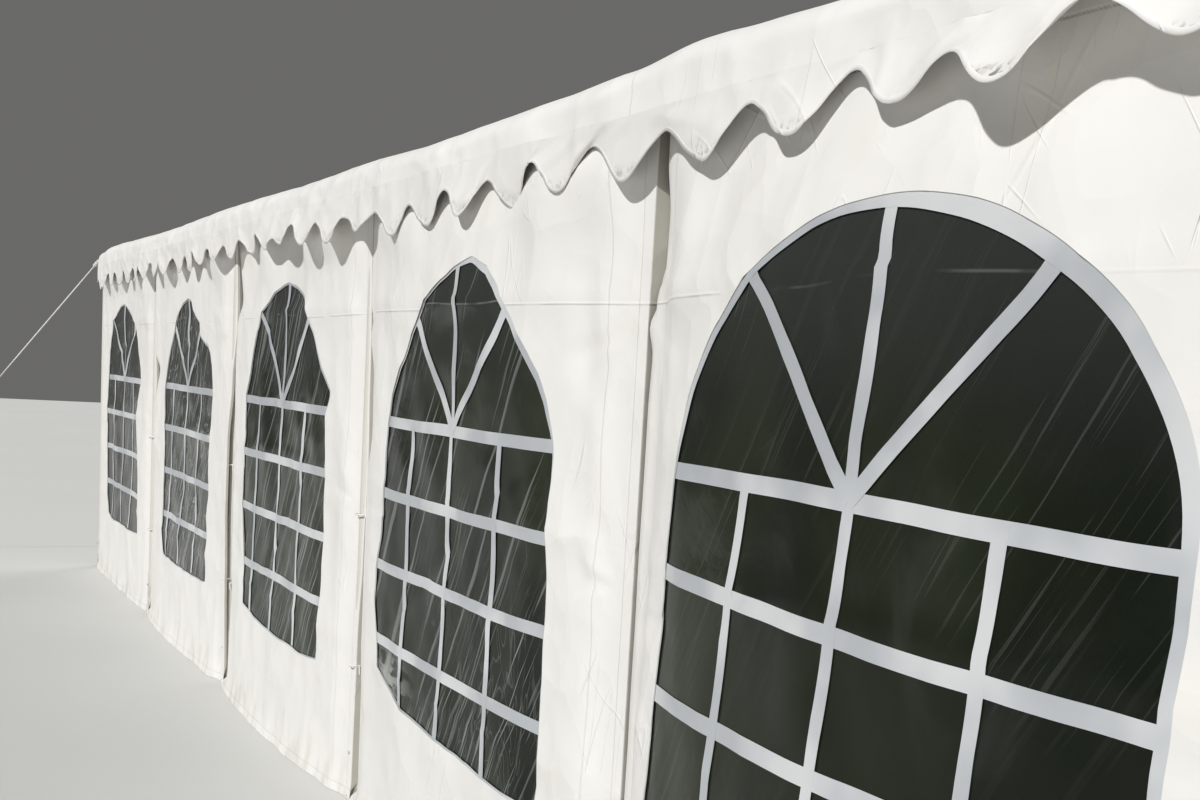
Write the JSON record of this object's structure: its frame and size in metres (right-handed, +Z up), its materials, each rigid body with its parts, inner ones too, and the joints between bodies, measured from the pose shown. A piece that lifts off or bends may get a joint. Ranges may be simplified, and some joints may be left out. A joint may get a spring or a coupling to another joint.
{
  "type": "storage tent",
  "caption": "Long white PVC storage tent on a steel tube frame, with arched clear windows, a scalloped valance along the eaves and corner guy ropes.",
  "frame": {"origin": "on the ground, under the middle of the tent", "axes": "+X along the ridge towards the near end of the picture, -Y out of the long side that the picture shows, +Z up"},
  "size_m": [11.832, 8.032, 3.0552],
  "materials": {
    "tube": "white powder coat over steel tube, slightly scuffed",
    "sheeting": "warm white semi-gloss PVC-coated cloth, creased and lightly dirty",
    "film": "clear flexible PVC film, creased and hazy",
    "rope": "white braided rope",
    "stake": "zinc plated steel, dulled"
  },
  "bodies": {
    "root": {"ridge_tube": "tube", "front_eave_tube": "tube", "back_eave_tube": "tube", "rafter_pair_1": "tube", "rafter_pair_2": "tube", "rafter_pair_3": "tube", "rafter_pair_4": "tube", "rafter_pair_5": "tube", "rafter_pair_6": "tube", "front_leg_1": "tube", "front_leg_2": "tube", "front_leg_3": "tube", "front_leg_4": "tube", "front_leg_5": "tube", "front_leg_6": "tube", "back_leg_1": "tube", "back_leg_2": "tube", "back_leg_3": "tube", "back_leg_4": "tube", "back_leg_5": "tube", "back_leg_6": "tube", "far_end_tube": "tube", "far_door_post_front": "tube", "far_door_post_back": "tube", "near_end_tube": "tube", "near_door_post_front": "tube", "near_door_post_back": "tube", "roof_cover": "sheeting", "front_valance": "sheeting", "back_valance": "sheeting", "far_gable": "sheeting", "near_gable": "sheeting", "front_wall_1": "sheeting", "front_wall_2": "sheeting", "front_wall_3": "sheeting", "front_wall_4": "sheeting", "front_wall_5": "sheeting", "back_wall_1": "sheeting", "back_wall_2": "sheeting", "back_wall_3": "sheeting", "back_wall_4": "sheeting", "back_wall_5": "sheeting", "far_wall_front": "sheeting", "far_door": "sheeting", "far_wall_back": "sheeting", "near_wall_front": "sheeting", "near_door": "sheeting", "near_wall_back": "sheeting", "front_window_film": "film", "guy_rope_front_far": "rope", "stake_front_far": "stake", "guy_rope_front_near": "rope", "stake_front_near": "stake", "back_window_film": "film", "guy_rope_back_far": "rope", "stake_back_far": "stake", "guy_rope_back_near": "rope", "stake_back_near": "stake"}
  },
  "joints": []
}
